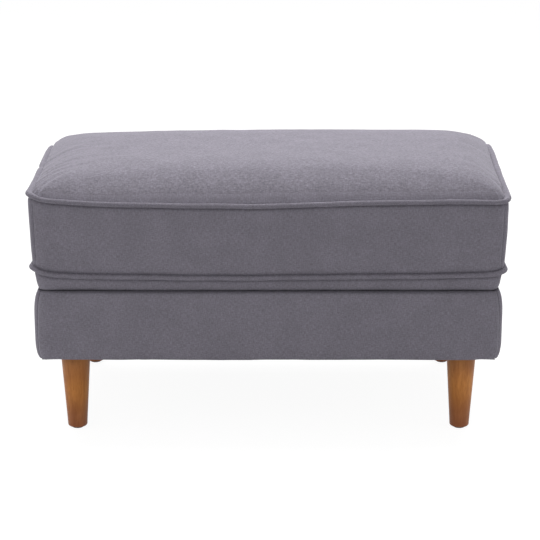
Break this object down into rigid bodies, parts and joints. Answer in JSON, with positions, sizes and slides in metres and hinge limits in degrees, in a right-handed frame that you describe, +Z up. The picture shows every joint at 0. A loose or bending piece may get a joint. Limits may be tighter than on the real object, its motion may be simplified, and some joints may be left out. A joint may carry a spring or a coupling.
{
  "type": "upholstered ottoman",
  "caption": "Rectangular upholstered ottoman: sprung, padded base on turned tapered legs, with a loose crowned box cushion, welted at both edges and zipped at the back.",
  "frame": {"origin": "on the floor, at the middle of the footprint", "axes": "+X along the length, +Y towards the back with the zip, +Z up"},
  "size_m": [0.8412, 0.5082, 0.4895],
  "materials": {
    "pine": "matte",
    "leg_wood": "satin",
    "black_plastic": "matte",
    "steel": "satin",
    "zip_metal": "satin",
    "felt": "matte",
    "foam": "matte",
    "black_lining": "matte",
    "fibre": "matte",
    "grey_cloth": "matte",
    "grey_welt": "matte",
    "zip_tape": "matte"
  },
  "bodies": {
    "root": {"front_rail": "pine", "rear_rail": "pine", "left_rail": "pine", "right_rail": "pine", "centre_stretcher": "pine", "rail_dowels": "pine", "corner_block_front_left": "pine", "corner_block_front_right": "pine", "corner_block_rear_left": "pine", "corner_block_rear_right": "pine", "leg_front_left": "leg_wood", "leg_front_right": "leg_wood", "leg_rear_left": "leg_wood", "leg_rear_right": "leg_wood", "glide_front_left": "black_plastic", "glide_front_right": "black_plastic", "glide_rear_left": "black_plastic", "glide_rear_right": "black_plastic", "block_screws": "steel", "hanger_bolts": "steel", "tee_nuts": "steel", "spring_1": "steel", "spring_2": "steel", "spring_3": "steel", "spring_4": "steel", "spring_5": "steel", "spring_clips": "steel", "spring_felt": "felt", "deck_foam": "foam", "deck_cloth": "black_lining", "dust_cover": "black_lining", "padding_front": "fibre", "padding_rear": "fibre", "padding_left": "fibre", "padding_right": "fibre", "base_cover_front": "grey_cloth", "base_cover_rear": "grey_cloth", "base_cover_left": "grey_cloth", "base_cover_right": "grey_cloth"},
    "cushion": {"cushion_foam": "foam", "cushion_fibre_top": "fibre", "cushion_fibre_bottom": "fibre", "cushion_top_panel": "grey_cloth", "cushion_bottom_panel": "grey_cloth", "boxing_front": "grey_cloth", "boxing_left": "grey_cloth", "boxing_right": "grey_cloth", "boxing_rear_upper": "grey_cloth", "boxing_rear_lower": "grey_cloth", "welt_upper": "grey_welt", "welt_lower": "grey_welt", "zip_tape_upper": "zip_tape", "zip_tape_lower": "zip_tape", "zip_coil": "black_plastic", "zip_stops": "zip_metal"},
    "zip_slider": {"zip_slider": "zip_metal"},
    "zip_pull": {"zip_pull": "zip_metal"}
  },
  "joints": [
    {"name": "cushion_lift", "type": "slide", "parent": "root", "child": "cushion", "axis": [0, 0, 1], "range_m": [0, 0.25]},
    {"name": "zip_slide", "type": "slide", "parent": "cushion", "child": "zip_slider", "axis": [-1, 0, 0], "range_m": [0, 0.6664]},
    {"name": "zip_pull_turn", "type": "hinge", "parent": "zip_slider", "child": "zip_pull", "pos_m": [0.3332, 0.24865, 0.376], "axis": [0, 0, -1], "range_deg": [0, 175]}
  ]
}
